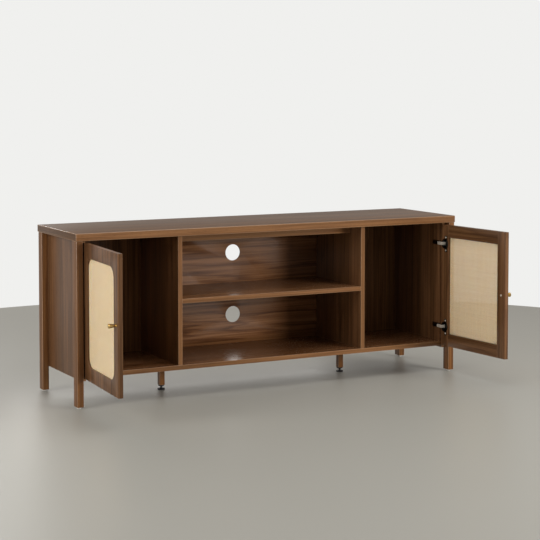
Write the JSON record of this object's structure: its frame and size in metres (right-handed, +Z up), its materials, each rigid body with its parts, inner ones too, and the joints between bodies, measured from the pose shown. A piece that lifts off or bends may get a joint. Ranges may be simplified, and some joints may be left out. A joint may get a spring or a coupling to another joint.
{
  "type": "tv stand with doors",
  "caption": "Low walnut-look television stand with an open shelved middle bay between cupboards with cane-panelled doors, on straight legs with levelling feet.",
  "frame": {"origin": "on the floor, in the middle of the space the stand takes up with both doors standing open", "axes": "+X to the stand's right as seen from the front, +Y to its back, +Z up"},
  "size_m": [1.5338, 0.7256, 0.585],
  "materials": {
    "walnut_foil_board": "satin walnut-grain foil on chipboard",
    "walnut_leg": "satin walnut-stained rubberwood",
    "woven_cane": "natural open-weave cane webbing",
    "brass_knob": "turned and brushed brass",
    "white_glide": "moulded",
    "black_foot": "moulded",
    "beech_dowel": "fluted beech",
    "nickel_plated_steel": "nickel plated",
    "zinc_plated_steel": "zinc plated"
  },
  "bodies": {
    "carcass": {"top_panel": "walnut_foil_board", "bottom_panel": "walnut_foil_board", "left_side_panel": "walnut_foil_board", "right_side_panel": "walnut_foil_board", "left_divider": "walnut_foil_board", "right_divider": "walnut_foil_board", "middle_shelf": "walnut_foil_board", "left_back_panel": "walnut_foil_board", "middle_back_panel": "walnut_foil_board", "right_back_panel": "walnut_foil_board", "top_stretcher": "walnut_foil_board", "front_left_leg": "walnut_leg", "front_right_leg": "walnut_leg", "rear_left_leg": "walnut_leg", "rear_right_leg": "walnut_leg", "left_middle_leg": "walnut_leg", "right_middle_leg": "walnut_leg", "leg_glides": "white_glide", "cam_locks": "zinc_plated_steel", "cam_bolts": "zinc_plated_steel", "wooden_dowels": "beech_dowel", "panel_screws": "zinc_plated_steel", "back_panel_screws": "zinc_plated_steel", "left_upper_hinge_arm": "nickel_plated_steel", "left_lower_hinge_arm": "nickel_plated_steel", "left_upper_hinge_plate": "nickel_plated_steel", "left_lower_hinge_plate": "nickel_plated_steel", "left_hinge_plate_screws": "nickel_plated_steel", "right_upper_hinge_arm": "nickel_plated_steel", "right_lower_hinge_arm": "nickel_plated_steel", "right_upper_hinge_plate": "nickel_plated_steel", "right_lower_hinge_plate": "nickel_plated_steel", "right_hinge_plate_screws": "nickel_plated_steel"},
    "left_door": {"left_door_front_panel": "walnut_foil_board", "left_door_hinge_stile": "walnut_foil_board", "left_door_free_stile": "walnut_foil_board", "left_door_top_rail": "walnut_foil_board", "left_door_bottom_rail": "walnut_foil_board", "left_door_cane": "woven_cane", "left_door_knob": "brass_knob", "left_door_knob_screw": "zinc_plated_steel", "left_upper_hinge_cup": "nickel_plated_steel", "left_lower_hinge_cup": "nickel_plated_steel", "left_hinge_cup_screws": "nickel_plated_steel", "left_hinge_pins": "nickel_plated_steel"},
    "right_door": {"right_door_front_panel": "walnut_foil_board", "right_door_hinge_stile": "walnut_foil_board", "right_door_free_stile": "walnut_foil_board", "right_door_top_rail": "walnut_foil_board", "right_door_bottom_rail": "walnut_foil_board", "right_door_cane": "woven_cane", "right_door_knob": "brass_knob", "right_door_knob_screw": "zinc_plated_steel", "right_upper_hinge_cup": "nickel_plated_steel", "right_lower_hinge_cup": "nickel_plated_steel", "right_hinge_cup_screws": "nickel_plated_steel", "right_hinge_pins": "nickel_plated_steel"},
    "left_foot": {"left_levelling_foot": "black_foot"},
    "right_foot": {"right_levelling_foot": "black_foot"}
  },
  "joints": [
    {"name": "left_door_swing", "type": "hinge", "parent": "carcass", "child": "left_door", "pos_m": [-0.712, -0.00799, 0.3265], "axis": [0, 0, -1], "range_deg": [-94, 10]},
    {"name": "right_door_swing", "type": "hinge", "parent": "carcass", "child": "right_door", "pos_m": [0.712, -0.00799, 0.3265], "axis": [0, 0, 1], "range_deg": [-94, 10]},
    {"name": "left_foot_level", "type": "slide", "parent": "carcass", "child": "left_foot", "axis": [0, 0, 1], "range_m": [-0.006, 0.006]},
    {"name": "right_foot_level", "type": "slide", "parent": "carcass", "child": "right_foot", "axis": [0, 0, 1], "range_m": [-0.006, 0.006]}
  ]
}
